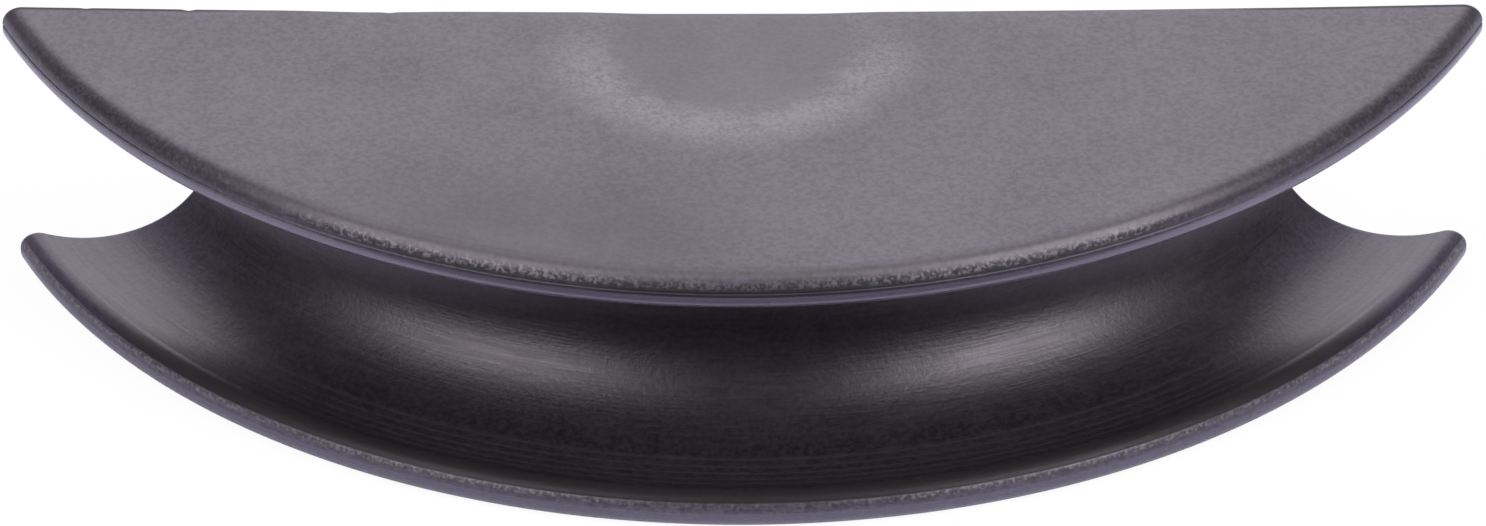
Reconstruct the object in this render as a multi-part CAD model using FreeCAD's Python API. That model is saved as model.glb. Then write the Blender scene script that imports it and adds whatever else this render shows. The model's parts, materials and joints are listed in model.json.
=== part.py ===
import FreeCAD, Part
import math
import os

# Pipe bender former, in millimetres.
# A segment of a grooved disc. The pipe lies in the groove round its curved front while it is bent, and the
# bender's ram pushes in the socket in its slightly hollow back. It is one moulding, and rests on its flat
# lower face.
# Frame: +Z up, the curved front faces -Y, the back faces +Y. The origin is under the middle of the part.

# The pipe and the groove that it is bent in
pipe_diameter = 32.0
pipe_clearance = 0.15           # room round the pipe, on the radius
bend_radius = 99.0              # from the bend axis to the middle of the pipe

# The flanges on both sides of the groove
flange_thickness = 4.7          # where the groove is widest
upper_lip_reach = 9.15          # how far the upper rim stands out past the middle of the pipe
lower_lip_reach = 7.55          # the lower flange is a little smaller
outer_edge_radius = 2.6         # rounding between a flat face and its rim
groove_edge_radius = 2.45       # rounding between the groove and a rim

# The back
back_distance = 38.5            # from the bend axis to the line between the two tips
back_hollow = 1.8               # how far the middle of the back lies in front of that line
back_edge_radius = 0.4

# The blind socket that takes the ram
socket_diameter = 20.0
socket_end_wall = 15.0          # solid left between the socket and the floor of the groove
socket_mouth_chamfer = 1.0

# The fine line round the upper rim where the halves of the mould met
seam_width = 0.3
seam_depth = 0.15
seam_margin = 0.05              # rim left between the seam and the rounding above it

groove_radius = pipe_diameter / 2 + pipe_clearance
thickness = 2 * (groove_radius + flange_thickness)
middle_height = thickness / 2
upper_rim_radius = bend_radius + upper_lip_reach
lower_rim_radius = bend_radius + lower_lip_reach
half_chord = math.sqrt(upper_rim_radius ** 2 - back_distance ** 2)
back_middle = -(back_distance + back_hollow)
back_face_radius = (half_chord ** 2 + back_hollow ** 2) / (2 * back_hollow)
socket_depth = bend_radius - groove_radius - socket_end_wall + back_middle
axis_y = (upper_rim_radius + back_distance) / 2
BEND_AXIS = FreeCAD.Vector(0, 0, 0)
UP = FreeCAD.Vector(0, 0, 1)
BACKWARDS = FreeCAD.Vector(0, 1, 0)


def section_point(radius, height):
    """A point of the disc's section, which is drawn behind the bend axis."""
    return FreeCAD.Vector(0, radius, height)


def line(start, end):
    return Part.LineSegment(start, end).toShape()


def short_arc(centre, start, end):
    """The arc of under half a turn round centre, from start to end."""
    towards = (start - centre) + (end - centre)
    middle = centre + towards.normalize() * (start - centre).Length
    return Part.Arc(start, middle, end).toShape()


def lip(rim_radius, side):
    """The two roundings of a flange's lip, each as its centre and two ends, from the groove outwards.

    side is 1 for the upper flange and -1 for the lower one. The inner rounding is tangent to the groove
    and to the rim. The outer one is tangent to the rim and to the flat face, and leaves room for the seam.
    """
    inner_radius = rim_radius - groove_edge_radius
    reach = groove_radius + groove_edge_radius
    rise = math.sqrt(reach ** 2 - (inner_radius - bend_radius) ** 2)
    groove_centre = section_point(bend_radius, middle_height)
    inner_centre = section_point(inner_radius, middle_height + side * rise)
    groove_end = groove_centre + (inner_centre - groove_centre) * (groove_radius / reach)
    inner_rounding = (inner_centre, groove_end, section_point(rim_radius, inner_centre.z))

    edge_radius = min(outer_edge_radius, middle_height - rise - seam_width)
    face_height = middle_height + side * middle_height
    outer_centre = section_point(rim_radius - edge_radius, face_height - side * edge_radius)
    rim_end = section_point(rim_radius, outer_centre.z)
    outer_rounding = (outer_centre, rim_end, section_point(outer_centre.y, face_height))
    return inner_rounding, outer_rounding


def disc_section():
    """Half of the disc's section: two flat faces, two rounded lips and the round groove between them."""
    lower_inner, lower_outer = lip(lower_rim_radius, -1)
    upper_inner, upper_outer = lip(upper_rim_radius, 1)
    groove_floor = section_point(bend_radius - groove_radius, middle_height)
    foot = section_point(0, 0)
    top = section_point(0, thickness)
    edges = [
        line(foot, lower_outer[2]),
        short_arc(*lower_outer),
        line(lower_outer[1], lower_inner[2]),
        short_arc(*lower_inner),
        Part.Arc(lower_inner[1], groove_floor, upper_inner[1]).toShape(),
        short_arc(*upper_inner),
        line(upper_inner[2], upper_outer[1]),
        short_arc(*upper_outer),
        line(upper_outer[2], top),
        line(top, foot),
    ]
    return Part.Face(Part.Wire(edges))


def behind_the_back():
    """A very large upright cylinder, whose side is the hollow back."""
    foot = FreeCAD.Vector(0, back_middle + back_face_radius, -thickness)
    return Part.makeCylinder(back_face_radius, 3 * thickness, foot, UP)


def socket():
    """The round space for the ram, from its flat end to well behind the back."""
    end = FreeCAD.Vector(0, back_middle - socket_depth, middle_height)
    return Part.makeCylinder(socket_diameter / 2, 2 * socket_depth, end, BACKWARDS)


def back_edges(shape, round_the_socket):
    """The edges of the back face: those round the socket's mouth, or else those round its outline."""
    for face in shape.Faces:
        surface = face.Surface
        if isinstance(surface, Part.Cylinder) and surface.Radius > upper_rim_radius:
            wires = [wire for wire in face.Wires if wire.isSame(face.OuterWire) != round_the_socket]
            return [edge for wire in wires for edge in wire.Edges]
    raise ValueError("the part has no back face")


def seam(rim_radius, height):
    """A ring with a pointed inner edge, which leaves the fine line in the rim."""
    outside = rim_radius + seam_depth
    corners = [
        section_point(rim_radius - seam_depth, height),
        section_point(outside, height - seam_width),
        section_point(outside, height + seam_width),
    ]
    outline = Part.makePolygon(corners + corners[:1])
    return Part.Face(outline).revolve(BEND_AXIS, UP, 360)


def former():
    body = disc_section().revolve(BEND_AXIS, UP, 360)
    body = body.cut(behind_the_back())
    body = body.cut(socket())
    body = body.makeChamfer(socket_mouth_chamfer, back_edges(body, True))
    body = body.makeFillet(back_edge_radius, back_edges(body, False))
    upper_rounding = lip(upper_rim_radius, 1)[1]
    seam_height = upper_rounding[1].z - seam_margin - seam_width / 2
    body = body.cut(seam(upper_rim_radius, seam_height))
    body.translate(BACKWARDS * axis_y)
    return body


os.makedirs("parts", exist_ok=True)
former().exportStep("parts/former.step")
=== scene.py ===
import json
import math

import bpy
from mathutils import Matrix, Vector


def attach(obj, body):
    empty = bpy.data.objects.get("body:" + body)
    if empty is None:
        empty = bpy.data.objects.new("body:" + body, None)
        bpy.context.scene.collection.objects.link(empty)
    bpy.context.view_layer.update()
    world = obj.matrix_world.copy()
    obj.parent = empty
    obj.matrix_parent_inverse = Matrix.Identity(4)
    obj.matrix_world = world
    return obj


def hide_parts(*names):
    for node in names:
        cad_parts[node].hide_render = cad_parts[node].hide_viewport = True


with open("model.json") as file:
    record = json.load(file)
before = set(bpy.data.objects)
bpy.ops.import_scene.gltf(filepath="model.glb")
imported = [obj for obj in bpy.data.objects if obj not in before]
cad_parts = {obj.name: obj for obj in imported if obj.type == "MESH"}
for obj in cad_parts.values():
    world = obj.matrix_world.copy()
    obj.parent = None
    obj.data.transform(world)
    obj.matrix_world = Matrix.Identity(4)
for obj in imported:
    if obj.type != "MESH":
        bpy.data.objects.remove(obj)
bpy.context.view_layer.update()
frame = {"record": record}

# The pipe bender former, in metres, in the frame of the solid model: the curved grooved front faces -Y,
# the back +Y, and the part rests on its flat lower face at height 0.
MM = 0.001
mounts = {mount["name"]: mount for mount in frame["record"]["mounts"]}
groove_place = Vector(mounts["pipe_groove"]["pos_m"])
groove_radius = mounts["pipe_groove"]["dims"]["r_mm"] * MM
socket_radius = mounts["ram_socket"]["dims"]["r_mm"] * MM

# Driving sizes, the same as those of the solid
BEND_RADIUS = 99.0 * MM
UPPER_LIP_REACH = 9.15 * MM
LOWER_LIP_REACH = 7.55 * MM
OUTER_EDGE_RADIUS = 2.6 * MM
GROOVE_EDGE_RADIUS = 2.45 * MM
BACK_DISTANCE = 38.5 * MM
BACK_HOLLOW = 1.8 * MM
BACK_EDGE_RADIUS = 0.4 * MM
SOCKET_MOUTH_CHAMFER = 1.0 * MM
SOCKET_END_WALL = 15.0 * MM
SOCKET_END_ROUNDING = 0.8 * MM
SEAM_WIDTH = 0.3 * MM
SEAM_DEPTH = 0.15 * MM
SEAM_MARGIN = 0.05 * MM

middle_height = groove_place.z
thickness = 2 * middle_height
axis_y = groove_place.y + BEND_RADIUS
upper_rim_radius = BEND_RADIUS + UPPER_LIP_REACH
lower_rim_radius = BEND_RADIUS + LOWER_LIP_REACH
half_chord = math.sqrt(upper_rim_radius ** 2 - BACK_DISTANCE ** 2)
back_face_radius = (half_chord ** 2 + BACK_HOLLOW ** 2) / (2 * BACK_HOLLOW)
back_middle = BACK_DISTANCE + BACK_HOLLOW
socket_depth = BEND_RADIUS - groove_radius - SOCKET_END_WALL - back_middle

# How finely the surface is divided. Half the section runs from a flat face's edge to the groove's floor.
OUTER_EDGE_STEPS = 10
GROOVE_EDGE_STEPS = 14
GROOVE_STEPS = 64
SECTION_STEPS = (OUTER_EDGE_STEPS, 1, 1, 1, 1, GROOVE_EDGE_STEPS, GROOVE_STEPS)
HALF_SECTION = sum(SECTION_STEPS)
TOOL_ROW_PULL = 0.7     # draws rows in the lower half of the groove down to the tool lines by the lip
MOUTH_STEPS = 24
BACK_MIDDLE_STEPS = 48
BACK_EDGE_STEPS = 3
FACE_STEPS = 30
BACK_STEPS = 6
SOCKET_END_TURNS = (0, 22.5, 45, 67.5, 90)      # degrees, along the rounding at the socket's end
HALF_COLUMNS = HALF_SECTION + BACK_MIDDLE_STEPS + MOUTH_STEPS // 2
WELD_DISTANCE = 0.005 * MM

# The inputs of the shape's node trees
FORMER_SIZES = {
    "Bend Radius": BEND_RADIUS,
    "Groove Radius": groove_radius,
    "Thickness": thickness,
    "Upper Rim": upper_rim_radius,
    "Lower Rim": lower_rim_radius,
    "Outer Edge": OUTER_EDGE_RADIUS,
    "Groove Edge": GROOVE_EDGE_RADIUS,
    "Back Middle": back_middle,
    "Back Radius": back_face_radius,
    "Back Edge": BACK_EDGE_RADIUS,
    "Socket Mouth": socket_radius + SOCKET_MOUTH_CHAMFER,
    "Socket Chamfer": SOCKET_MOUTH_CHAMFER,
    "Socket Depth": socket_depth,
    "Socket End Edge": SOCKET_END_ROUNDING,
    "Seam Width": SEAM_WIDTH,
    "Seam Depth": SEAM_DEPTH,
    "Seam Margin": SEAM_MARGIN,
}

# Marks on the moulding, on the left as seen from the front where x is negative
SINK_MIDDLE = (-1.5 * MM, 22.8 * MM)
SINK_RADII = (14.0 * MM, 24.0 * MM)
SINK_DEPTH = 0.25 * MM
DIP_X = -51.0 * MM
DIP_HALF_WIDTH = 13.0 * MM
DIP_REACH = 8.0 * MM
DIP_DEPTH = 0.18 * MM
# Nicks in the back's upper edge: where along x, how far each reaches, and how deep it is
NICKS = [
    (-75.4 * MM, 1.2 * MM, 0.20 * MM),
    (-48.1 * MM, 1.3 * MM, 0.12 * MM),
    (-89.4 * MM, 1.0 * MM, 0.10 * MM),
]
NICK_SLANT = 0.7                # how much of a nick's depth goes down, and forwards
# Lines that a tool left: degrees round the groove from its floor, and depth
TOOL_LINES = [
    (79.8, 0.035 * MM),
    (85.0, 0.03 * MM),
    (91.0, 0.02 * MM),
    (96.5, 0.02 * MM),
    (101.5, 0.015 * MM),
]
TOOL_LINE_HALF_WIDTH = 1.4      # degrees round the groove
TOOL_LINES_FADE = (36.0, 50.0)  # degrees round the bend, from the middle of the front
UNEVENNESS = 0.05 * MM
UNEVENNESS_SIZE = 14.0 * MM
NEAR_TOP = (0.3 * MM, 3.0 * MM)     # how far under the top face its marks fade out
OFF_FLOOR = (0.1 * MM, 3.0 * MM)    # how high above the lower face the unevenness sets in
ON_GROOVE = 0.1 * MM                # how near the groove's circle counts as on it
SHARP_ANGLE = math.radians(40)

# Camera, fitted to the edges in the photograph
CAMERA_LENS = 580.0
CAMERA_DISTANCE = 3.2728
CAMERA_ELEVATION = math.radians(32.24)
CAMERA_TURN = math.radians(0.334)
CAMERA_ROLL = math.radians(-0.280)
CAMERA_AIM = Vector((-0.00002, 0.02540, 0.00593))
CAMERA_CLIP = (0.1, 20.0)

# Colours of the nylon, as light that it scatters
SKIN_VIOLET = (0.026, 0.020, 0.031, 1.0)
SKIN_OLIVE = (0.018, 0.016, 0.017, 1.0)
SKIN_LIGHT = (0.050, 0.042, 0.060, 1.0)
RING_LIGHT = (0.118, 0.105, 0.128, 1.0)
# the light of the scuffs, and also of the painted light on the upper lip's rounding
SCUFF_AND_PAINTED_LIGHT = (0.120, 0.112, 0.112, 1.0)
# the dark of the scuffs' flecks, and of the darker place on the top face
SCUFF_AND_PATCH_DARK = (0.020, 0.018, 0.020, 1.0)
# painted reflection of the bluish floor, on the smoother bands of the rims
RIM_PAINTED_REFLECTION = (0.064, 0.056, 0.082, 1.0)
# painted shade along the mould seam
SEAM_PAINTED_SHADE = (0.006, 0.005, 0.006, 1.0)
# painted shade, flecked, on the upper lip's outer rounding towards the tips
TIP_PAINTED_SHADE = (0.010, 0.007, 0.007, 1.0)
# painted shade along the back's upper edge near the tips
BACK_EDGE_PAINTED_SHADE = (0.024, 0.015, 0.022, 1.0)
GROOVE_DARK = (0.0045, 0.0036, 0.0046, 1.0)
GROOVE_LIGHT = (0.018, 0.015, 0.0185, 1.0)
TOOLED_LIGHT = (0.030, 0.026, 0.031, 1.0)
# painted reflection of the bluish backdrop at the groove's open ends
GROOVE_END_PAINTED_REFLECTION = (0.030, 0.022, 0.048, 1.0)
# painted shade: a dull, dark shader on the front of the lower lip's crest
CREST_PAINTED_SHADE = (0.012, 0.010, 0.012, 1.0)

# How it shines. What grains and marks change in a roughness follows it.
NYLON_IOR = 1.55
NYLON_SPECULAR = 0.55
NYLON_TINT = (0.99, 0.885, 1.0, 1.0)
SKIN_ROUGHNESS = 0.42
CLOUD_ROUGHNESS = 0.10
PATCH_ROUGHNESS = 0.18
RIM_SMOOTHNESS = 0.18
BACK_EDGE_ROUGHNESS = 0.3
SEAM_ROUGHNESS = 0.3
DARK_PATCH_ROUGHNESS = 0.06
GROOVE_ROUGHNESS = 0.37
GROOVE_CLOUD_ROUGHNESS = 0.06
BRUSHED_ROUGHNESS = 0.20
# how the painted shade on the lower lip's crest shines: rough, with little specular
CREST_ROUGHNESS = 0.7
CREST_SPECULAR = 0.12

# Where the finish changes, in millimetres unless it says degrees or a share. Two numbers are where a
# change starts and where it is complete, but a middle or a pair of radii is x and y. Four are a band:
# where it starts, where it is full, where it stops being full, and where it ends. Heights count from the
# middle height. What lies at or towards the tips, or away from the middle, is measured sideways. The upper
# lip's degrees run from 0 on the rim to 90 on the top face, and the groove's from 0 on its floor to 90 at
# its lowest line.
TOP_FACE_START = (20.4, 20.7)
RIMS_START = (2.0, 4.0)         # past the middle of the pipe
GROOVE_FADE = (0.05, 0.5)       # off the groove's circle
CREST_FROM = (2.0, 3.0)         # past the middle of the pipe
CREST_FOOT = (-16.62, -16.42)
# where the painted shade on the lower lip's crest lies
CREST_SHADE_FROM = (4.7, 5.6)    # past the middle of the pipe
CREST_SHADE_TO_TIPS = (70.0, 96.0)
RING_MIDDLE = (-1.5, 23.8)
RING_BAND = (12.0, 18.5, 20.0, 28.5)
RING_RAGGEDNESS = 9.0
RING_FADE = (16.0, 32.0)        # along y
INSIDE_RING = (13.0, 17.0)
# a darker place on the top face at the front left
DARK_PATCH_MIDDLE = (-30.0, -24.0)
DARK_PATCH_RADII = (50.0, 27.0)
DARK_PATCH_EDGE = (0.2, 1.0)        # shares of the radii
DARK_PATCH_RAGGEDNESS = 0.4         # a share of the radii
UPPER_SCUFF = (2.0, 12.0, 26.0, 44.0)       # degrees
UPPER_SCUFF_RAGGEDNESS = 20.0               # degrees
# painted light along the upper lip's rounding, in degrees
UPPER_PAINTED_LIGHT = (36.0, 54.0, 68.0, 86.0)       # degrees
# painted shade on the upper lip's rounding towards the tips, in degrees
UPPER_TIP_SHADE = (0.0, 12.0, 60.0, 84.0)    # degrees
LOWER_SCUFF = (-17.45, -17.1, -16.7, -16.5)
LOWER_SCUFF_RAGGEDNESS = 0.3
SCUFFED_MIDDLE_TO_TIPS = (50.0, 74.0)
BRIGHTER_FROM_MIDDLE = (10.0, 26.0)
# painted shade along the mould seam, by height
SEAM_SHADE = (17.35, 17.65, 18.3, 19.0)
SEAM_SHADE_AT_TIPS = (40.0, 70.0)
# smoother bands on the rims, which carry a painted reflection of the floor
UPPER_RIM_BAND = (14.0, 15.0, 17.4, 17.6)
LOWER_RIM_TOP = -18.0           # the lower rim's smooth band lies under this height
# painted shade along the back's upper edge near the tips
BACK_EDGE = (0.6, 1.1)          # in front of the back
BACK_EDGE_TO_TIPS = (60.0, 78.0)
BACK_EDGE_HEIGHT = (19.5, 20.0)
TOOLED_START = (76.5, 78.5)     # degrees
TOOLED_END = 106.0              # degrees
TOOL_LINE_SPACING = 5.45        # degrees
TOOL_LINE_REACH = 0.3           # a share of the spacing
# painted reflection of the backdrop at the groove's open ends
GROOVE_END_FROM = (84.0, 100.0)     # along the groove, from the middle of the front
GROOVE_END_TURN = (25.0, 60.0)      # degrees

# Grains of the finish: the size of a spot in millimetres, the levels of detail, and how rough they are
FINE_GRAIN = (0.75, 4.0, 0.62)
FLECKS = (0.55, 2.0, 0.6)
CLOUDS = (4.0, 4.0, 0.5)
PATCHES = (22.0, 2.0, 0.5)
BRUSHING = (0.32, 1.0, 0.5)
BRUSHING_STRETCH = 0.03         # a share of the length along the groove, so that the spots become lines
RELIEF = 0.010                  # depth of the grain on the skin, in millimetres
BRUSHING_RELIEF = 0.016
GROOVE_RELIEF = 3.0             # how much deeper the grain is in the groove, as a share
CLOUD_RELIEF = 0.8              # depth of the clouds against that of the fine grain

# Strengths of a grain between which its spots or flecks fade in, but the dark flecks fade out. The ring's
# flecks follow a share of the clouds as well.
SPOTS = (0.36, 0.64)
RING_FLECKS = (0.55, 1.0)
RING_CLOUDS = 0.6
DARK_FLECKS = (0.38, 0.50)
LIGHT_FLECKS = (0.48, 0.62)
TIP_FLECKS = (0.36, 0.60)

# Shares in which the grains mix the colours of the skin, the groove and the painted reflection at the
# groove's ends
OLIVE_PATCHES = 0.6
OLIVE_CLOUDS = 0.5
OLIVE_LOSS = 0.2
GROOVE_SPOTS = 0.6
GROOVE_CLOUDS = 0.4
GROOVE_END_EVEN = 0.15
GROOVE_END_SPOTS = 0.6
GROOVE_END_CLOUDS = 0.3

# Shares of the surface that marks cover where they are strongest, or lose
RING_EVEN = 0.2
RING_FLECKED = 0.85
RING_LOST_AT_BACK = 0.7
INSIDE_RING_COVER = 0.75
LOWER_SCUFF_COVER = 0.7
DARK_SCUFF_COVER = 0.8
LIGHT_SCUFF_AT_MIDDLE = 0.45
LIGHT_SCUFF_BESIDE = 0.55
DARK_PATCH_COVER = 0.5
# how much of the painted shade at the upper lip's tips is even, and how much flecked
TIP_EVEN = 0.1
TIP_FLECKED = 0.7
# share of the painted light on the upper lip's rounding
PAINTED_LIGHT_COVER = 0.35
SEAM_COVER = 0.9
SEAM_LOSS = 0.4                 # off the middle, and again at the tips
# how much weaker the painted reflection is on the lower rim
LOWER_RIM_LOSS = 0.35
TOOLED_COVER = 0.1
TOOL_LINE_COVER = 0.35
# share of the painted shade on the lower lip's crest
CREST_SHADE_COVER = 0.8

# The room
FLOOR_HALF_WIDTH = 6.0
FLOOR_FRONT = -0.14             # where the floor ends in front
FLOOR_HEIGHT = -0.02 * MM       # just under the lower face, which would otherwise flicker from below
FLOOR_COLOUR = (0.84, 0.85, 0.98, 1.0)
FLOOR_ROUGHNESS = 0.9
FLOOR_WHITENESS = 0.94          # share of plain white in what the camera sees; the rest keeps the shadow
FLOOR_SHADE = (0.040, 0.050)    # how far in front the floor turns black where the part mirrors it
ROOM_COLOUR = (1.0, 1.0, 1.06, 1.0)
ROOM_LEVEL = 0.28               # brightness against white of the room that lights the part
FRONT_LEVEL = 0.04              # what the part mirrors of the room in front of it
BACKDROP_EDGE = (0.28, 0.85)    # how far back a direction points where the backdrop starts, and is white
BACKDROP_TOP = 0.53             # how far upwards it points where the backdrop starts to reach forward
# A lamp is its name, brightness against white, width, height, distance, and the turn from the front and
# the elevation in degrees at which it stands.
LAMPS = [
    ("back lamp", 1.2, 1.6, 1.6, 1.5, 180.0, 42.0),
    ("front left lamp", 5.6, 0.80, 0.95, 1.3, -48.0, 41.0),
    ("front right lamp", 8.4, 0.66, 0.92, 1.3, 52.0, 41.0),
]


class Wire:
    """A node's output. Arithmetic on it adds the nodes that work it out."""

    def __init__(self, tree, socket):
        self.tree = tree
        self.socket = socket

    def __add__(self, other):
        return self.tree.sum("ADD", self, other)

    def __radd__(self, other):
        return self.tree.sum("ADD", other, self)

    def __sub__(self, other):
        return self.tree.sum("SUBTRACT", self, other)

    def __rsub__(self, other):
        return self.tree.sum("SUBTRACT", other, self)

    def __mul__(self, other):
        return self.tree.product(self, other)

    def __rmul__(self, other):
        return self.tree.product(self, other)

    def __truediv__(self, other):
        return self.tree.math("DIVIDE", self, other)

    def __rtruediv__(self, other):
        return self.tree.math("DIVIDE", other, self)

    def __pow__(self, other):
        return self.tree.math("POWER", self, other)

    def __neg__(self):
        return self * -1.0

    def __abs__(self):
        return self.tree.math("ABSOLUTE", self)

    def __gt__(self, other):
        return self.tree.math("GREATER_THAN", self, other)

    def __lt__(self, other):
        return self.tree.math("LESS_THAN", self, other)

    def is_vector(self):
        return self.socket.type in ("VECTOR", "RGBA")

    def other(self, name):
        """Another output of the same node."""
        return Wire(self.tree, self.socket.node.outputs[name])

    def parts(self):
        node = self.tree.add("ShaderNodeSeparateXYZ", [self])
        return node, node.other("Y"), node.other("Z")


class Tree:
    """A node tree as it is written, for a material, the world or a piece's shape."""

    def __init__(self, nodes):
        self.nodes = nodes

    def add(self, kind, inputs=(), output=0, **settings):
        """Adds a node, sets it, plugs values or wires into its inputs, and gives one of its outputs."""
        node = self.nodes.nodes.new(kind)
        for name, value in settings.items():
            setattr(node, name, value)
        pairs = inputs.items() if isinstance(inputs, dict) else enumerate(inputs)
        for place, value in pairs:
            self.plug(node.inputs[place], value)
        return Wire(self, node.outputs[output]) if node.outputs else None

    def plug(self, socket, value):
        if isinstance(value, Wire):
            self.nodes.links.new(value.socket, socket)
        else:
            socket.default_value = value

    def math(self, operation, *values):
        return self.add("ShaderNodeMath", values, operation=operation)

    def vector_math(self, operation, *values):
        return self.add("ShaderNodeVectorMath", values, operation=operation)

    def sum(self, operation, first, second):
        wires = [value for value in (first, second) if isinstance(value, Wire)]
        if any(wire.is_vector() for wire in wires):
            return self.vector_math(operation, first, second)
        return self.math(operation, first, second)

    def product(self, wire, other):
        if not wire.is_vector() and isinstance(other, Wire) and other.is_vector():
            wire, other = other, wire
        if not wire.is_vector():
            return self.math("MULTIPLY", wire, other)
        if isinstance(other, Wire) and other.is_vector():
            return self.vector_math("MULTIPLY", wire, other)
        return self.add("ShaderNodeVectorMath", {0: wire, "Scale": other}, operation="SCALE")

    def vector(self, x, y, z):
        return self.add("ShaderNodeCombineXYZ", (x, y, z))

    def blend(self, share, first, second):
        """The mix of two vectors: the first at a share of 0, the second at 1."""
        return self.add("ShaderNodeMix", {0: share, 4: first, 5: second}, output=1, data_type="VECTOR")

    def step_up(self, value, low, high):
        """0 below low, 1 above high, with a smooth rise between."""
        inputs = {"Value": value, "From Min": low, "From Max": high}
        return self.add("ShaderNodeMapRange", inputs, interpolation_type="SMOOTHSTEP")

    def choose(self, number, choices):
        """The vector among choices that has this number."""
        node = self.nodes.nodes.new("GeometryNodeIndexSwitch")
        node.data_type = "VECTOR"
        while len(node.index_switch_items) < len(choices):
            node.index_switch_items.new()
        for place, value in enumerate([number, *choices]):
            self.plug(node.inputs[place], value)
        return Wire(self, node.outputs[0])


def net(tree, columns, rows):
    """A net of points, with the column and the row of each."""
    mesh = tree.add("GeometryNodeMeshGrid", {"Vertices X": columns, "Vertices Y": rows})
    index = tree.add("GeometryNodeInputIndex")
    column = tree.math("FLOOR", (index + 0.5) / rows)
    return mesh, column, index - column * rows


def laid(tree, mesh, position, flipped=False):
    """A net in its place, with its faces turned over if they would look inwards."""
    placed = tree.add("GeometryNodeSetPosition", {"Geometry": mesh, "Position": position})
    if flipped:
        placed = tree.add("GeometryNodeFlipFaces", {"Mesh": placed})
    return placed


def section(tree, size, row):
    """The revolved section: its radius, height, and the radial and upward parts of its normal.

    Row 0 is the edge of the top face and the last row the edge of the lower one, with the groove's floor
    halfway. Each lip is an outer rounding, a narrow land and a rounding into the groove. The mould seam
    lies in the upper land.
    """
    lower = row > HALF_SECTION
    side = 1 - 2 * lower
    step = HALF_SECTION - abs(row - HALF_SECTION)
    rim = size["Upper Rim"] + (size["Lower Rim"] - size["Upper Rim"]) * lower
    lip_middle = rim - size["Groove Edge"]
    reach = size["Groove Radius"] + size["Groove Edge"]
    rise = tree.math("SQRT", reach ** 2 - (lip_middle - size["Bend Radius"]) ** 2)
    turn = math.pi / 2 + tree.math("ARCSINE", (lip_middle - size["Bend Radius"]) / reach)
    outer_height = size["Thickness"] * 0.5 - size["Outer Edge"]
    seam_top = outer_height - size["Seam Margin"]
    seam_middle = seam_top - size["Seam Width"] * 0.5
    seam_foot = seam_top - size["Seam Width"]
    seam_bottom = rim - size["Seam Depth"] * (1 - lower)

    starts = [sum(SECTION_STEPS[:place]) for place in range(len(SECTION_STEPS))]
    shares = [(step - start) / count for start, count in zip(starts, SECTION_STEPS)]
    piece = sum((step > start for start in starts[2:]), step > starts[1])

    def arc(radius_middle, height_middle, radius, slope):
        out = tree.math("COSINE", slope)
        up = tree.math("SINE", slope)
        return tree.vector(radius_middle + radius * out, height_middle + radius * up, slope)

    def straight(start, end, share):
        radius = start[0] + (end[0] - start[0]) * share
        return tree.vector(radius, start[1] + (end[1] - start[1]) * share, 0.0)

    groove_slope = -turn * (1 - shares[6] ** (1 + TOOL_ROW_PULL * lower))
    point = tree.choose(piece, [
        arc(rim - size["Outer Edge"], outer_height, size["Outer Edge"], (1 - shares[0]) * (math.pi / 2)),
        straight((rim, outer_height), (rim, seam_top), shares[1]),
        straight((rim, seam_top), (seam_bottom, seam_middle), shares[2]),
        straight((seam_bottom, seam_middle), (rim, seam_foot), shares[3]),
        straight((rim, seam_foot), (rim, rise), shares[4]),
        arc(lip_middle, rise, size["Groove Edge"], -turn * shares[5]),
        arc(size["Bend Radius"], 0.0, -size["Groove Radius"], groove_slope),
    ])
    radius, rise_here, slope = point.parts()
    height = size["Thickness"] * 0.5 + side * rise_here
    return radius, height, tree.math("COSINE", slope), side * tree.math("SINE", slope)


def on_disc(tree, radius, angle, height):
    """A point at a radius from the bend axis, turned by an angle from the middle of the front."""
    x = radius * tree.math("SINE", angle)
    return tree.vector(x, axis_y - radius * tree.math("COSINE", angle), height)


def back_y(tree, size, x):
    """Where the hollow back lies at x. It is part of a very large upright cylinder."""
    root = tree.math("SQRT", size["Back Radius"] ** 2 - x ** 2)
    return axis_y - size["Back Middle"] + x ** 2 / (size["Back Radius"] + root)


def end_angle(tree, size, radius):
    """The turn from the middle of the front at which a circle of this radius meets the back."""
    behind = size["Back Radius"] - size["Back Middle"]
    spread = size["Back Middle"] * (size["Back Radius"] + behind)
    return tree.math("ARCCOSINE", (spread - radius ** 2) / (2 * radius * behind))


def back_rounding(tree, size, corner, normal, share):
    """The rounding of the back's outline: a ball rolled in its corner, from side (0) to back (1)."""
    lean = corner.parts()[0] / size["Back Radius"]
    behind = tree.vector(-lean, tree.math("SQRT", 1 - lean ** 2), 0.0)
    likeness = tree.add("ShaderNodeVectorMath", (normal, behind), output="Value", operation="DOT_PRODUCT")
    middle = corner - (normal + behind) * (size["Back Edge"] / (1 + likeness))
    outwards = tree.vector_math("NORMALIZE", tree.blend(share, normal, behind))
    return middle + outwards * size["Back Edge"]


def front_angle(tree, size, radius, place):
    """The turn of a column, which stops a little short of the back's rounding."""
    end = end_angle(tree, size, radius)
    inset = 2 * size["Back Edge"] / (radius * tree.math("SINE", end))
    share = tree.add("ShaderNodeClamp", {"Value": place / HALF_COLUMNS, "Min": -1.0, "Max": 1.0})
    return share * (end - inset)


def end_corner(tree, size, row, side):
    """Where a row of the section meets the back, at one end, with the section's normal there."""
    radius, height, out, up = section(tree, size, row)
    end = side * end_angle(tree, size, radius)
    normal = tree.vector(out * tree.math("SINE", end), -out * tree.math("COSINE", end), up)
    return on_disc(tree, radius, end, height), normal


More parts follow.
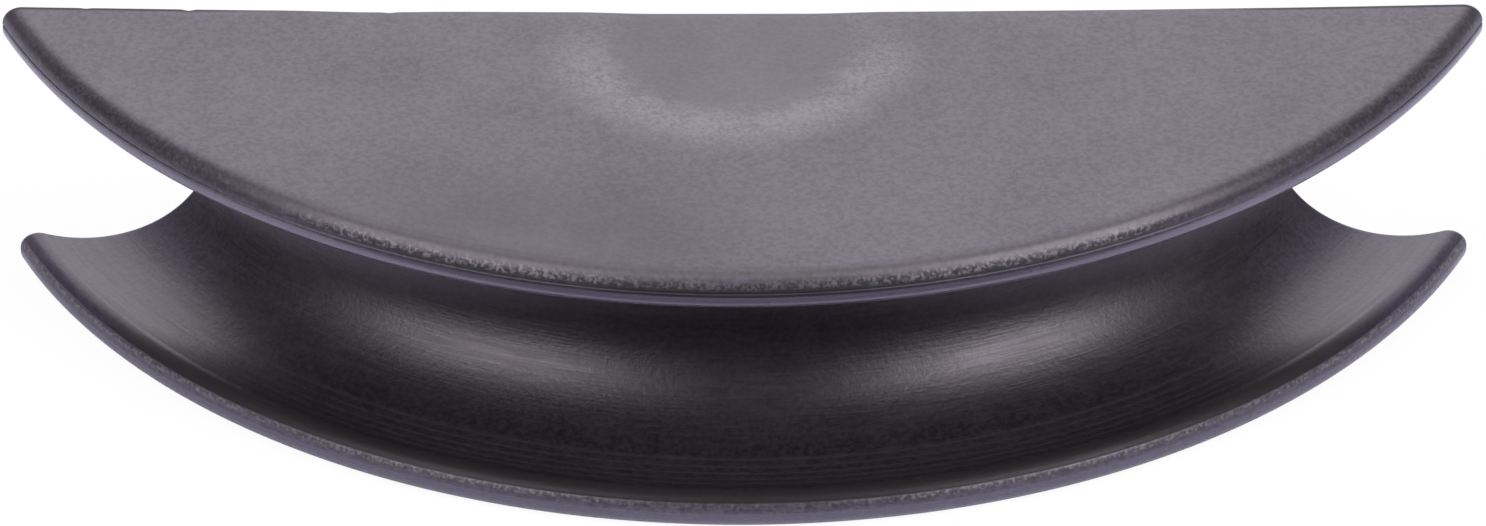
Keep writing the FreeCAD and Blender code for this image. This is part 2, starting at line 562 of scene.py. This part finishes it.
def rims_and_groove(tree, size):
    """The revolved surface: from the top face's edge round both lips and the groove to the lower face."""
    margin = BACK_EDGE_STEPS + 1
    mesh, column, row = net(tree, 2 * (HALF_COLUMNS + margin) + 1, 2 * HALF_SECTION + 1)
    place = column - (HALF_COLUMNS + margin)
    beyond = abs(place) - HALF_COLUMNS
    radius, height = section(tree, size, row)[:2]
    angle = front_angle(tree, size, radius, place)
    corner, normal = end_corner(tree, size, row, tree.math("SIGN", place))
    rounded = back_rounding(tree, size, corner, normal, (beyond - 1) / BACK_EDGE_STEPS)
    front = on_disc(tree, radius, angle, height)
    return laid(tree, mesh, tree.blend(beyond > 0.5, front, rounded), flipped=True)


def face_edge(size, side):
    """The radius and the height of the edge of the top face (side 1) or the lower face (-1)."""
    rim = size["Upper Rim"] if side > 0 else size["Lower Rim"]
    return rim - size["Outer Edge"], size["Thickness"] * (1.0 if side > 0 else 0.0)


def back_line(tree, size, place, side):
    """The corner between a flat face and the back. Its columns match the end profile and the socket."""
    radius, height = face_edge(size, side)
    tip_x = radius * tree.math("SINE", end_angle(tree, size, radius))
    floor_x = floor_corner_x(tree, size)
    steps = abs(place)
    mouth = size["Socket Mouth"]
    mouth_x = mouth * tree.math("SINE", steps * (math.pi / MOUTH_STEPS))
    past_mouth = steps - MOUTH_STEPS / 2
    middle_x = mouth + (floor_x - mouth) * (past_mouth / BACK_MIDDLE_STEPS)
    profile_x = floor_x + (tip_x - floor_x) * ((past_mouth - BACK_MIDDLE_STEPS) / HALF_SECTION)
    choices = [tree.vector(value, 0.0, 0.0) for value in (mouth_x, middle_x, profile_x)]
    x = tree.choose(zone(steps), choices).parts()[0] * tree.math("SIGN", place)
    return tree.vector(x, back_y(tree, size, x), height), tree.vector(0.0, 0.0, float(side))


def zone(steps):
    """0 over the socket's mouth, 1 between it and the groove, 2 along the end profile."""
    return (steps > MOUTH_STEPS / 2) + (steps > MOUTH_STEPS / 2 + BACK_MIDDLE_STEPS)


def floor_corner_x(tree, size):
    """How far from the middle the back's face ends at the floor of the groove."""
    floor = size["Bend Radius"] - size["Groove Radius"]
    end = end_angle(tree, size, floor)
    corner = on_disc(tree, floor, end, 0.0)
    normal = tree.vector(tree.math("SINE", end), -tree.math("COSINE", end), 0.0)
    return back_rounding(tree, size, corner, normal, 1.0).parts()[0]


def flat_face(tree, size, side):
    """The top face (side 1) or the lower face (-1), with the rounding of its edge at the back."""
    mesh, column, row = net(tree, 2 * HALF_COLUMNS + 1, FACE_STEPS + BACK_EDGE_STEPS + 1)
    place = column - HALF_COLUMNS
    radius, height = face_edge(size, side)
    angle = front_angle(tree, size, radius, place)
    front = on_disc(tree, radius, angle, height)
    corner, normal = back_line(tree, size, place, side)
    share = tree.math("MINIMUM", row / FACE_STEPS, 1.0)
    at_tip = abs(place) > HALF_COLUMNS - 0.5
    share = share + at_tip * (tree.math("CEIL", share) - share)
    flat = tree.blend(share, front, back_rounding(tree, size, corner, normal, 0.0))
    rounded = back_rounding(tree, size, corner, normal, (row - FACE_STEPS) / BACK_EDGE_STEPS)
    return laid(tree, mesh, tree.blend(row > FACE_STEPS + 0.5, flat, rounded), flipped=side < 0)


def back_half(tree, size, side):
    """The upper (side 1) or lower (-1) half of the hollow back, between its outline and the socket."""
    mesh, column, row = net(tree, 2 * HALF_COLUMNS + 1, BACK_STEPS + 1)
    place = column - HALF_COLUMNS
    steps = abs(place)
    hand = tree.math("SIGN", place)
    corner, normal = back_line(tree, size, place, side)
    outer = back_rounding(tree, size, corner, normal, 1.0)

    section_row = HALF_SECTION - side * (HALF_SECTION - (HALF_COLUMNS - steps))
    end, end_normal = end_corner(tree, size, section_row, hand)
    profile = back_rounding(tree, size, end, end_normal, 1.0)
    mouth = size["Socket Mouth"]
    turn = steps * (math.pi / MOUTH_STEPS)
    middle = size["Thickness"] * 0.5
    round_mouth = tree.vector(
        hand * mouth * tree.math("SINE", turn), 0.0, middle + side * mouth * tree.math("COSINE", turn))
    share = (steps - MOUTH_STEPS / 2) / BACK_MIDDLE_STEPS
    level = tree.vector(hand * (mouth + (floor_corner_x(tree, size) - mouth) * share), 0.0, middle)
    inner = tree.choose(zone(steps), [round_mouth, level, profile])
    x, _, z = tree.blend(row / BACK_STEPS, outer, inner).parts()
    return laid(tree, mesh, tree.vector(x, back_y(tree, size, x), z), flipped=side < 0)


def ram_socket(tree, size):
    """The blind round socket in the back, from its chamfered mouth to the middle of its end."""
    bore = size["Socket Mouth"] - size["Socket Chamfer"]
    depth = size["Socket Depth"]
    rounding = size["Socket End Edge"]
    profile = [(size["Socket Mouth"], 0.0), (bore, size["Socket Chamfer"])]
    for turn in SOCKET_END_TURNS:
        out = 1 - math.cos(math.radians(turn))
        along = 1 - math.sin(math.radians(turn))
        profile.append((bore - rounding * out, depth - rounding * along))
    profile.append((0.0, depth))
    mesh, column, row = net(tree, 2 * MOUTH_STEPS + 1, len(profile))
    point = tree.choose(row, [tree.vector(radius, inwards, 0.0) for radius, inwards in profile])
    radius, inwards, _ = point.parts()
    turn = column * (math.pi / MOUTH_STEPS)
    x = radius * tree.math("SINE", turn)
    z = size["Thickness"] * 0.5 + radius * tree.math("COSINE", turn)
    return laid(tree, mesh, tree.vector(x, back_y(tree, size, x) - inwards, z))


def marks(tree, size, mesh):
    """The sink over the socket, the low place and nicks in the back's upper edge, the tool lines in the
    lower half of the groove, and the slight unevenness of a moulding. All of them go inwards."""
    position = tree.add("GeometryNodeInputPosition")
    normal = tree.add("GeometryNodeInputNormal")
    x, y, z = position.parts()
    below_top = size["Thickness"] - z
    near_top = 1 - tree.step_up(below_top, *NEAR_TOP)

    from_sink = tree.math("SQRT", (x - SINK_MIDDLE[0]) ** 2 + (y - SINK_MIDDLE[1]) ** 2)
    sunk = SINK_DEPTH * (1 - tree.step_up(from_sink, *SINK_RADII))
    from_dip = abs(x - DIP_X)
    from_back = abs(back_y(tree, size, x) - y)
    dip = 1 - tree.step_up(from_dip, 0.0, DIP_HALF_WIDTH)
    dip = dip * (1 - tree.step_up(from_back, 0.0, DIP_REACH))
    offset = tree.vector(0.0, 0.0, (sunk + DIP_DEPTH * dip) * near_top * -1.0)
    for nick_x, reach, depth in NICKS:
        edge = tree.vector(nick_x, back_y(tree, size, nick_x), size["Thickness"])
        away = tree.add("ShaderNodeVectorMath", (position, edge), output="Value", operation="DISTANCE")
        pushed = depth * (1 - tree.step_up(away, 0.0, reach))
        offset = offset - tree.vector(0.0, pushed * NICK_SLANT, pushed * NICK_SLANT)

    inwards = tree.math("SQRT", x ** 2 + (y - axis_y) ** 2) - size["Bend Radius"]
    height = z - size["Thickness"] * 0.5
    off_groove = abs(tree.math("SQRT", inwards ** 2 + height ** 2) - size["Groove Radius"])
    turn = tree.math("ARCTAN2", -height, -inwards) * math.degrees(1)
    lines = 0.0
    for line_turn, depth in TOOL_LINES:
        lines = (1 - tree.step_up(abs(turn - line_turn), 0.0, TOOL_LINE_HALF_WIDTH)) * depth + lines
    round_bend = abs(tree.math("ARCTAN2", x, axis_y - y)) * math.degrees(1)
    lines = lines * (off_groove < ON_GROOVE) * (1 - tree.step_up(round_bend, *TOOL_LINES_FADE))
    waves = tree.add("ShaderNodeTexNoise", {
        "Vector": position, "Scale": 1 / UNEVENNESS_SIZE, "Detail": 1.0})
    rough = tree.math("MAXIMUM", waves, 0.0) * UNEVENNESS * tree.step_up(z, *OFF_FLOOR)
    x, y, z = (position + offset - normal * (lines + rough)).parts()
    moved = tree.vector(x, y, tree.math("MINIMUM", z, size["Thickness"]))
    return tree.add("GeometryNodeSetPosition", {"Geometry": mesh, "Position": moved})


def sized_tree(name):
    """A new geometry tree with the former's sizes as its inputs, and those inputs as wires."""
    nodes = bpy.data.node_groups.new(name, "GeometryNodeTree")
    nodes.interface.new_socket("Geometry", in_out="OUTPUT", socket_type="NodeSocketGeometry")
    for size_name in FORMER_SIZES:
        nodes.interface.new_socket(size_name, in_out="INPUT", socket_type="NodeSocketFloat")
    tree = Tree(nodes)
    inputs = nodes.nodes.new("NodeGroupInput")
    return tree, {size_name: Wire(tree, inputs.outputs[size_name]) for size_name in FORMER_SIZES}


def finished_tree(tree, geometry):
    """A sized tree's nodes, with this geometry as its output."""
    outputs = tree.nodes.nodes.new("NodeGroupOutput")
    tree.plug(outputs.inputs["Geometry"], geometry)
    return tree.nodes


def surface_tree(name, draw, *side):
    """The node tree of one surface, so that no single tree grows large and slow to build."""
    tree, size = sized_tree(name)
    return finished_tree(tree, draw(tree, size, *side))


def former_shape(material):
    """The node tree that makes the whole former from its sizes."""
    surfaces = [
        surface_tree("rims_and_groove", rims_and_groove),
        surface_tree("top_face", flat_face, 1),
        surface_tree("lower_face", flat_face, -1),
        surface_tree("back_upper_half", back_half, 1),
        surface_tree("back_lower_half", back_half, -1),
        surface_tree("ram_socket", ram_socket),
    ]
    tree, size = sized_tree("former_shape")
    joined = tree.add("GeometryNodeJoinGeometry")
    for surface in surfaces:
        placed = tree.add("GeometryNodeGroup", size, node_tree=surface)
        tree.plug(joined.socket.node.inputs[0], placed)
    whole = tree.add("GeometryNodeMergeByDistance", {"Geometry": joined, "Distance": WELD_DISTANCE})
    whole = marks(tree, size, whole)
    whole = tree.add("GeometryNodeRealizeInstances", {"Geometry": whole})
    whole = tree.add("GeometryNodeSetMaterial", {"Geometry": whole, "Material": material})
    return finished_tree(tree, whole)


def make_former(material):
    """The former as a plain mesh, worked out once from its node tree and its sizes."""
    piece = bpy.data.objects.new("former_body", bpy.data.meshes.new("former_body"))
    bpy.context.scene.collection.objects.link(piece)
    shape = former_shape(material)
    modifier = piece.modifiers.new("shape", "NODES")
    modifier.node_group = shape
    for item in shape.interface.items_tree:
        if item.in_out == "INPUT":
            modifier[item.identifier] = FORMER_SIZES[item.name]
    evaluated = piece.evaluated_get(bpy.context.evaluated_depsgraph_get())
    mesh = bpy.data.meshes.new_from_object(evaluated)
    piece.modifiers.remove(modifier)
    piece.data = mesh
    mesh.name = "former_body"
    mesh.shade_smooth()
    mesh.set_sharp_from_angle(angle=SHARP_ANGLE)
    return piece


def grain(tree, point, size, detail, roughness):
    """Noise from 0 to 1 about a middle of 0.5, with spots of about this size in millimetres."""
    return tree.add("ShaderNodeTexNoise", {
        "Vector": point, "Scale": 1 / size, "Detail": detail, "Roughness": roughness})


def colour_mix(tree, share, first, second):
    """The mix of two colours: the first at a share of 0, the second at 1."""
    return tree.add("ShaderNodeMix", {0: share, 6: first, 7: second}, output=2, data_type="RGBA")


def coloured(tree, colour, layers):
    """A colour with layers over it, each given as the share that it covers and its own colour."""
    for share, layer in layers:
        colour = colour_mix(tree, share, colour, layer)
    return colour


def band(tree, value, start, full, full_end, end):
    """0 outside start and end, 1 between the full values, with smooth flanks."""
    return tree.step_up(value, start, full) * (1 - tree.step_up(value, full_end, end))


class Place:
    """Where a point of the moulding lies, in millimetres and degrees, and the grains of its finish."""

    def __init__(self, tree):
        point = tree.add("ShaderNodeTexCoord", output="Object") * (1 / MM)
        self.x, self.y, z = point.parts()
        self.sideways = abs(self.x)
        self.height = z - middle_height / MM
        self.is_upper = self.height > 0.0
        self.is_lower = self.height < 0.0
        radius = tree.math("SQRT", self.x ** 2 + (self.y - axis_y / MM) ** 2)
        self.past_pipe = radius - BEND_RADIUS / MM
        self.along_groove = tree.math("ARCTAN2", self.x, axis_y / MM - self.y) * (BEND_RADIUS / MM)
        self.groove_turn = tree.math("ARCTAN2", -self.height, -self.past_pipe) * math.degrees(1)
        lip_height = self.height - (middle_height - OUTER_EDGE_RADIUS) / MM
        lip_radius = radius - (upper_rim_radius - OUTER_EDGE_RADIUS) / MM
        self.lip_turn = tree.math("ARCTAN2", lip_height, lip_radius) * math.degrees(1)
        self.on_top = tree.step_up(self.height, *TOP_FACE_START)
        self.on_rims = tree.step_up(self.past_pipe, *RIMS_START)

        self.fine = grain(tree, point, *FINE_GRAIN)
        self.spots = tree.step_up(self.fine, *SPOTS)
        self.flecks = grain(tree, point, *FLECKS)
        self.cloud = grain(tree, point, *CLOUDS)
        self.patch = grain(tree, point, *PATCHES)
        lengthwise = tree.vector(self.along_groove * BRUSHING_STRETCH, radius, self.height)
        self.brushed = grain(tree, lengthwise, *BRUSHING)


def groove_extent(tree, here):
    """1 in the groove and on the lower lip's crest, and 1 where the front of that crest gets painted
    shade.
    """
    off_circle = tree.math("SQRT", here.past_pipe ** 2 + here.height ** 2) - groove_radius / MM
    in_circle = 1 - tree.step_up(off_circle, *GROOVE_FADE)
    on_crest = tree.step_up(here.height, *CREST_FOOT) * here.is_lower
    on_crest = on_crest * tree.step_up(here.past_pipe, *CREST_FROM)
    shaded_crest = on_crest * tree.step_up(here.past_pipe, *CREST_SHADE_FROM)
    shaded_crest = shaded_crest * (1 - tree.step_up(here.sideways, *CREST_SHADE_TO_TIPS))
    return tree.math("MAXIMUM", in_circle, on_crest), shaded_crest


def top_face_marks(tree, here):
    """The pale ring over the socket, the face inside it, and a darker place at the front left."""
    from_middle = tree.math("SQRT", (here.x - RING_MIDDLE[0]) ** 2 + (here.y - RING_MIDDLE[1]) ** 2)
    ragged = from_middle + (here.cloud - 0.5) * RING_RAGGEDNESS
    towards_back = 1 - tree.step_up(here.y, *RING_FADE) * RING_LOST_AT_BACK
    ring = band(tree, ragged, *RING_BAND) * towards_back * here.on_top
    inside_ring = (1 - tree.step_up(from_middle, *INSIDE_RING)) * here.on_top

    across = (here.x - DARK_PATCH_MIDDLE[0]) / DARK_PATCH_RADII[0]
    along = (here.y - DARK_PATCH_MIDDLE[1]) / DARK_PATCH_RADII[1]
    from_dark_patch = tree.math("SQRT", across ** 2 + along ** 2) + (here.cloud - 0.5) * DARK_PATCH_RAGGEDNESS
    dark_patch = (1 - tree.step_up(from_dark_patch, *DARK_PATCH_EDGE)) * here.on_top
    return ring, inside_ring, dark_patch


def lip_marks(tree, here, near_middle):
    """The scuffs on both lips, painted light along the upper one's rounding, and painted shade at the
    upper one's tips.
    """
    ragged_turn = here.lip_turn + (here.cloud - 0.5) * UPPER_SCUFF_RAGGEDNESS
    upper_scuff = band(tree, ragged_turn, *UPPER_SCUFF) * near_middle
    ragged_height = here.height + (here.flecks - 0.5) * LOWER_SCUFF_RAGGEDNESS
    lower_scuff = band(tree, ragged_height, *LOWER_SCUFF) * here.is_lower
    scuff = (upper_scuff + lower_scuff * LOWER_SCUFF_COVER) * here.on_rims
    upper_lip = here.on_rims * here.is_upper
    painted_light = band(tree, here.lip_turn, *UPPER_PAINTED_LIGHT) * near_middle * upper_lip
    tip_shade = band(tree, here.lip_turn, *UPPER_TIP_SHADE) * (1 - near_middle) * upper_lip
    return scuff, painted_light, tip_shade


def edge_marks(tree, here, off_middle):
    """Painted shade along the mould seam, the smoother bands on the rims with a painted reflection on
    them, and painted shade along the back's upper edge near the tips.
    """
    at_tips = tree.step_up(here.sideways, *SEAM_SHADE_AT_TIPS)
    seam = band(tree, here.height, *SEAM_SHADE) * here.on_rims
    seam = seam * (SEAM_COVER - (off_middle + at_tips) * SEAM_LOSS)
    reflecting_rim_bands = band(tree, here.height, *UPPER_RIM_BAND) + (here.height < LOWER_RIM_TOP)
    from_back = (axis_y - back_middle) / MM - here.y + here.x ** 2 * (MM / (2 * back_face_radius))
    back_edge_shade = 1 - tree.step_up(from_back, *BACK_EDGE)
    back_edge_shade = back_edge_shade * tree.step_up(here.sideways, *BACK_EDGE_TO_TIPS)
    back_edge_shade = back_edge_shade * tree.step_up(here.height, *BACK_EDGE_HEIGHT)
    return seam, reflecting_rim_bands * here.on_rims, back_edge_shade


def skin_finish(tree, here):
    """The outside of the moulding: its colour, its roughness, and where flecks stand up from it."""
    ring, inside_ring, dark_patch = top_face_marks(tree, here)
    near_middle = 1 - tree.step_up(here.sideways, *SCUFFED_MIDDLE_TO_TIPS)
    off_middle = tree.step_up(here.sideways, *BRIGHTER_FROM_MIDDLE)
    scuff, painted_light, tip_shade = lip_marks(tree, here, near_middle)
    seam, reflecting_rim_bands, back_edge_shade = edge_marks(tree, here, off_middle)

    ring_flecks = tree.step_up(here.flecks + here.cloud * RING_CLOUDS, *RING_FLECKS)
    dark_flecks = 1 - tree.step_up(here.flecks, *DARK_FLECKS)
    light_scuff = scuff * (LIGHT_SCUFF_AT_MIDDLE + off_middle * LIGHT_SCUFF_BESIDE)
    tip_flecks = tree.step_up(here.flecks, *TIP_FLECKS)
    olive = here.patch * OLIVE_PATCHES + here.cloud * OLIVE_CLOUDS - OLIVE_LOSS
    base = colour_mix(tree, olive, SKIN_VIOLET, SKIN_OLIVE)
    colour = coloured(tree, base, [
        (here.spots, SKIN_LIGHT),
        (ring * (ring_flecks * RING_FLECKED + RING_EVEN), RING_LIGHT),
        (inside_ring * INSIDE_RING_COVER, SKIN_LIGHT),
        (scuff * DARK_SCUFF_COVER * dark_flecks, SCUFF_AND_PATCH_DARK),
        (light_scuff * tree.step_up(here.flecks, *LIGHT_FLECKS), SCUFF_AND_PAINTED_LIGHT),
        # a darker place on the top face at the front left
        (dark_patch * DARK_PATCH_COVER, SCUFF_AND_PATCH_DARK),
        # painted shade, flecked, on the upper lip's rounding towards the tips
        (tip_shade * (TIP_EVEN + tip_flecks * TIP_FLECKED), TIP_PAINTED_SHADE),
        # painted light on the upper lip's rounding
        (painted_light * PAINTED_LIGHT_COVER, SCUFF_AND_PAINTED_LIGHT),
        # painted reflection of the floor on the smoother rim bands
        (reflecting_rim_bands * (1 - here.is_lower * LOWER_RIM_LOSS), RIM_PAINTED_REFLECTION),
        # painted shade along the mould seam
        (seam, SEAM_PAINTED_SHADE),
        # painted shade along the back's upper edge near the tips
        (back_edge_shade, BACK_EDGE_PAINTED_SHADE),
    ])
    rough = SKIN_ROUGHNESS + (here.cloud - 0.5) * CLOUD_ROUGHNESS + (here.patch - 0.5) * PATCH_ROUGHNESS
    rough = rough - reflecting_rim_bands * RIM_SMOOTHNESS + back_edge_shade * BACK_EDGE_ROUGHNESS
    rough = rough + seam * SEAM_ROUGHNESS + dark_patch * DARK_PATCH_ROUGHNESS
    return colour, rough, ring + scuff


def groove_finish(tree, here):
    """The groove's blacker, smoother finish, tooled along its lowest part: its colour and roughness."""
    tooled = tree.step_up(here.groove_turn, *TOOLED_START) * (here.groove_turn < TOOLED_END)
    place = (here.groove_turn - TOOL_LINES[0][0]) / TOOL_LINE_SPACING
    from_line = abs(tree.math("FRACT", place + 0.5) - 0.5)
    lines = (1 - tree.step_up(from_line, 0.0, TOOL_LINE_REACH)) * tooled
    at_ends = tree.step_up(abs(here.along_groove), *GROOVE_END_FROM)
    at_ends = at_ends * tree.step_up(here.groove_turn, *GROOVE_END_TURN)
    light = here.spots * GROOVE_SPOTS + here.cloud * GROOVE_CLOUDS
    end_reflection = GROOVE_END_EVEN + here.spots * GROOVE_END_SPOTS + here.cloud * GROOVE_END_CLOUDS
    base = colour_mix(tree, light, GROOVE_DARK, GROOVE_LIGHT)
    colour = coloured(tree, base, [
        (tooled * TOOLED_COVER + lines * TOOL_LINE_COVER, TOOLED_LIGHT),
        # painted reflection of the backdrop at the groove's open ends
        (at_ends * end_reflection, GROOVE_END_PAINTED_REFLECTION),
    ])
    rough = GROOVE_ROUGHNESS + (here.cloud - 0.5) * GROOVE_CLOUD_ROUGHNESS
    return colour, rough + (here.brushed - 0.5) * BRUSHED_ROUGHNESS


def filled_nylon():
    """Black glass-filled nylon: a matt grey skin, a blacker and smoother groove, and scuffed edges."""
    material = bpy.data.materials.new("filled_nylon")
    material.use_nodes = True
    shader = material.node_tree.nodes["Principled BSDF"]
    shader.inputs["IOR"].default_value = NYLON_IOR
    shader.inputs["Specular IOR Level"].default_value = NYLON_SPECULAR
    shader.inputs["Specular Tint"].default_value = NYLON_TINT
    tree = Tree(material.node_tree)
    here = Place(tree)
    groove, crest_shade = groove_extent(tree, here)
    skin, skin_rough, flecked = skin_finish(tree, here)
    black, groove_rough = groove_finish(tree, here)
    tree.plug(shader.inputs["Base Color"], colour_mix(tree, groove, skin, black))
    tree.plug(shader.inputs["Roughness"], skin_rough + (groove_rough - skin_rough) * groove)

    grain_depth = (here.fine + here.cloud * CLOUD_RELIEF + here.flecks * flecked) * RELIEF
    relief = grain_depth * (1 + groove * GROOVE_RELIEF) + here.brushed * groove * BRUSHING_RELIEF
    bump = tree.add("ShaderNodeBump", {"Strength": 1.0, "Distance": 1.0 * MM, "Height": relief})
    tree.plug(shader.inputs["Normal"], bump)

    lit = Wire(tree, shader.outputs[0])
    # painted shade: a dull, dark shader mixed onto the front of the lower lip's crest, which takes out the
    # lamps' highlight there
    dull = tree.add("ShaderNodeBsdfPrincipled", {
        "Base Color": CREST_PAINTED_SHADE, "Roughness": CREST_ROUGHNESS,
        "Specular IOR Level": CREST_SPECULAR, "Normal": bump})
    mixed = tree.add("ShaderNodeMixShader", (crest_shade * CREST_SHADE_COVER, lit, dull))
    tree.plug(material.node_tree.nodes["Material Output"].inputs["Surface"], mixed)
    return material


def make_floor():
    """The pale floor under the part."""
    side = FLOOR_HALF_WIDTH
    z = FLOOR_HEIGHT
    corners = [(-side, FLOOR_FRONT, z), (side, FLOOR_FRONT, z), (side, side, z), (-side, side, z)]
    mesh = bpy.data.meshes.new("floor")
    mesh.from_pydata(corners, [], [(0, 1, 2, 3)])
    floor = bpy.data.objects.new("floor", mesh)
    bpy.context.scene.collection.objects.link(floor)
    mesh.materials.append(floor_finish())


def floor_finish():
    """Nearly white to the camera apart from the part's shadow, black in front where the part mirrors it,
    and open from below."""
    material = bpy.data.materials.new("floor")
    material.use_nodes = True
    shader = material.node_tree.nodes["Principled BSDF"]
    shader.inputs["Base Color"].default_value = FLOOR_COLOUR
    shader.inputs["Roughness"].default_value = FLOOR_ROUGHNESS
    shader.inputs["Specular IOR Level"].default_value = 0.0
    tree = Tree(material.node_tree)
    lit = Wire(tree, shader.outputs[0])
    white = tree.add("ShaderNodeEmission", {"Color": (1.0, 1.0, 1.0, 1.0), "Strength": 1.0})
    dark = tree.add("ShaderNodeEmission", {"Color": (0.0, 0.0, 0.0, 1.0), "Strength": 0.0})
    open_below = tree.add("ShaderNodeBsdfTransparent")
    shown, straight = seen_directly(tree)
    from_below = tree.add("ShaderNodeNewGeometry", output="Backfacing")
    y = tree.add("ShaderNodeTexCoord", output="Object").parts()[1]
    shaded = tree.step_up(-y, *FLOOR_SHADE) * shown * (1 - straight)
    mixed = tree.add("ShaderNodeMixShader", (shaded, lit, dark))
    mixed = tree.add("ShaderNodeMixShader", (straight * FLOOR_WHITENESS, mixed, white))
    mixed = tree.add("ShaderNodeMixShader", (from_below, mixed, open_below))
    tree.plug(material.node_tree.nodes["Material Output"].inputs["Surface"], mixed)
    return material


def seen_directly(tree):
    """1 for what the camera sees, also in a mirror or through glass, and 1 for what it sees straight."""
    path = tree.add("ShaderNodeLightPath")
    shown = path + path.other("Is Glossy Ray") + path.other("Is Transmission Ray")
    return tree.math("MINIMUM", shown, 1.0), path


def light_room():
    """A white backdrop behind the part and over it, a darker room in front, and three soft lamps."""
    world = bpy.data.worlds.new("room")
    world.use_nodes = True
    bpy.context.scene.world = world
    tree = Tree(world.node_tree)
    shown, straight = seen_directly(tree)
    _, backwards, upwards = tree.add("ShaderNodeTexCoord").parts()
    overhead = tree.math("MAXIMUM", upwards - BACKDROP_TOP, 0.0)
    behind = tree.step_up(backwards + overhead, *BACKDROP_EDGE)
    mirrored = FRONT_LEVEL + behind * (1 - FRONT_LEVEL)
    level = tree.math("MAXIMUM", ROOM_LEVEL + shown * (mirrored - ROOM_LEVEL), straight)
    background = world.node_tree.nodes["Background"]
    background.inputs["Color"].default_value = ROOM_COLOUR
    tree.plug(background.inputs["Strength"], level)
    for name, level, width, height, distance, turn, elevation in LAMPS:
        softbox(name, level, width, height, distance, math.radians(turn), math.radians(elevation))


def softbox(name, level, width, height, distance, turn, elevation):
    """A lamp that faces the part, of a brightness given against white."""
    lamp = bpy.data.lights.new(name, "AREA")
    lamp.shape = "RECTANGLE"
    lamp.size = width
    lamp.size_y = height
    lamp.energy = level * math.pi * width * height
    towards = Vector((
        math.sin(turn) * math.cos(elevation), -math.cos(turn) * math.cos(elevation), math.sin(elevation)))
    box = bpy.data.objects.new(name, lamp)
    box.location = towards * distance
    box.rotation_mode = "QUATERNION"
    box.rotation_quaternion = towards.to_track_quat("Z", "Y")
    box.visible_camera = False
    bpy.context.scene.collection.objects.link(box)


def set_camera():
    """The camera, which looks at its aim along a long lens and is rolled by a trace."""
    back = Vector((
        math.sin(CAMERA_TURN) * math.cos(CAMERA_ELEVATION),
        -math.cos(CAMERA_TURN) * math.cos(CAMERA_ELEVATION),
        math.sin(CAMERA_ELEVATION),
    ))
    right = Vector((math.cos(CAMERA_TURN), math.sin(CAMERA_TURN), 0.0))
    up = back.cross(right)
    rolled_right = right * math.cos(CAMERA_ROLL) + up * math.sin(CAMERA_ROLL)
    rolled_up = up * math.cos(CAMERA_ROLL) - right * math.sin(CAMERA_ROLL)
    data = bpy.data.cameras.new("camera")
    data.lens = CAMERA_LENS
    data.clip_start, data.clip_end = CAMERA_CLIP
    camera = bpy.data.objects.new("camera", data)
    turned = Matrix((rolled_right, rolled_up, back)).transposed().to_4x4()
    camera.matrix_world = Matrix.Translation(CAMERA_AIM + back * CAMERA_DISTANCE) @ turned
    bpy.context.scene.collection.objects.link(camera)
    bpy.context.scene.camera = camera


former = make_former(filled_nylon())
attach(former, "root")
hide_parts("former")
make_floor()
light_room()
set_camera()
bpy.context.scene.view_settings.view_transform = "Standard"
